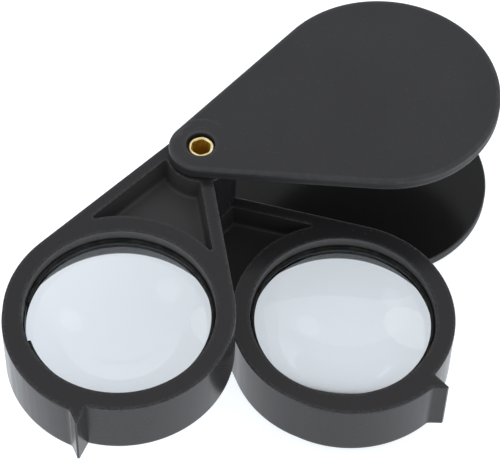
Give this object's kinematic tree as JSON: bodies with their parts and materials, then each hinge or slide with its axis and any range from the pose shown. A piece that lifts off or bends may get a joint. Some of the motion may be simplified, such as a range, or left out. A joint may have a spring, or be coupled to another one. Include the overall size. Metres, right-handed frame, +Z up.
{
  "type": "folding pocket magnifier",
  "caption": "Folding hand lens: teardrop cover plates on a brass eyelet, with round lens holders that swing out sideways on ribbed arms.",
  "frame": {"origin": "on the underside of the bottom cover, at the centre of its round end", "axes": "+Z up through the stack, along the eyelet's axis; +X from the eyelet along the covers to their round end; +Y completes the right-handed set"},
  "size_m": [0.119, 0.0881, 0.0337],
  "materials": {
    "cover_plastic": "fine-grained matte charcoal",
    "holder_plastic": "satin, smooth mould finish",
    "keeper_plastic": "satin",
    "eyelet_brass": "polished",
    "lens_glass": "polished, clear"
  },
  "bodies": {
    "case": {"bottom_cover": "cover_plastic", "eyelet": "eyelet_brass"},
    "top_plate": {"top_cover": "cover_plastic"},
    "upper_holder": {"upper_lens_holder": "holder_plastic", "upper_lens": "lens_glass", "upper_lens_keeper": "keeper_plastic"},
    "lower_holder": {"lower_lens_holder": "holder_plastic", "lower_lens": "lens_glass", "lower_lens_keeper": "keeper_plastic"}
  },
  "joints": [
    {"name": "upper_holder_swing", "type": "hinge", "parent": "case", "child": "upper_holder", "pos_m": [-0.04115, 0, 0.0239], "axis": [0, 0, 1], "continuous": true},
    {"name": "lower_holder_swing", "type": "hinge", "parent": "case", "child": "lower_holder", "pos_m": [-0.04115, 0, 0.0098], "axis": [0, 0, 1], "continuous": true},
    {"name": "top_cover_swing", "type": "hinge", "parent": "case", "child": "top_plate", "pos_m": [-0.04115, 0, 0.0324], "axis": [0, 0, 1], "continuous": true}
  ]
}
